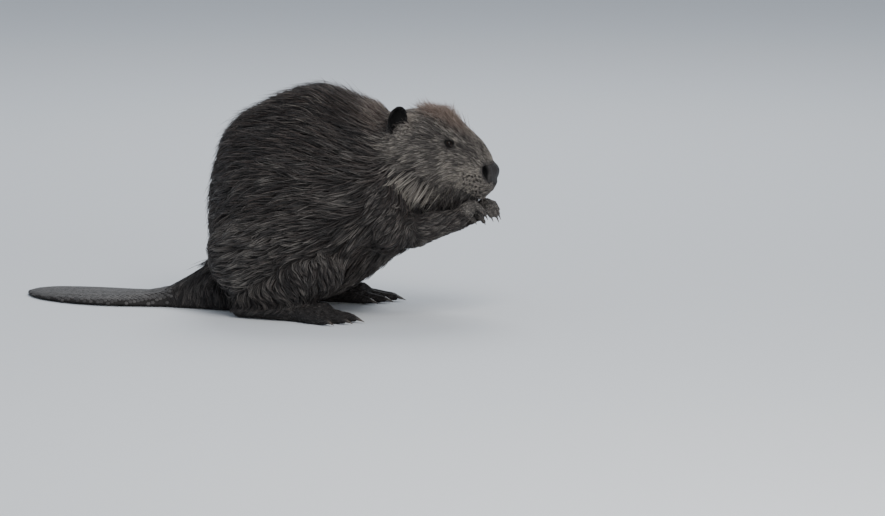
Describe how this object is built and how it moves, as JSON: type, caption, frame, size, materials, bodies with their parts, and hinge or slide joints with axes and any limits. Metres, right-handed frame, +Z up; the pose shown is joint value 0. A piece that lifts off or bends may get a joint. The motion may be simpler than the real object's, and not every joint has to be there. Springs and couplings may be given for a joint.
{
  "type": "beaver",
  "caption": "Life-size young beaver sitting hunched with its forepaws held together below its mouth, its hind feet flat and its broad scaly tail laid out behind.",
  "frame": {"origin": "on the floor, below the middle of the bounding box", "axes": "+X forwards, from tail to nose; +Y to the animal's left; +Z up"},
  "size_m": [0.5244, 0.2426, 0.243],
  "materials": {
    "fur": "dense dark brown fur with lighter guard hairs",
    "skin": "bare dark leathery skin of paws, feet, ears and nose",
    "tail_scales": "dark grey scaly skin",
    "claw": "horn, satin",
    "eye": "wet gloss"
  },
  "bodies": {
    "root": {"claw_foot_left_1": "claw", "claw_foot_left_2": "claw", "claw_foot_left_3": "claw", "claw_foot_left_4": "claw", "claw_foot_left_5": "claw", "claw_foot_right_1": "claw", "claw_foot_right_2": "claw", "claw_foot_right_3": "claw", "claw_foot_right_4": "claw", "claw_foot_right_5": "claw", "claw_hand_left_1": "claw", "claw_hand_left_2": "claw", "claw_hand_left_3": "claw", "claw_hand_left_4": "claw", "claw_hand_left_5": "claw", "claw_hand_right_1": "claw", "claw_hand_right_2": "claw", "claw_hand_right_3": "claw", "claw_hand_right_4": "claw", "claw_hand_right_5": "claw", "ear_left": "skin", "ear_right": "skin", "eye_left": "eye", "eye_right": "eye", "foot_left": "skin", "foot_right": "skin", "forearm_left": "fur", "forearm_right": "fur", "hand_left": "skin", "hand_right": "skin", "head": "fur", "neck": "fur", "shank_left": "fur", "shank_right": "fur", "tail": "tail_scales", "thigh_left": "fur", "thigh_right": "fur", "trunk": "fur", "upper_arm_left": "fur", "upper_arm_right": "fur"}
  },
  "joints": []
}
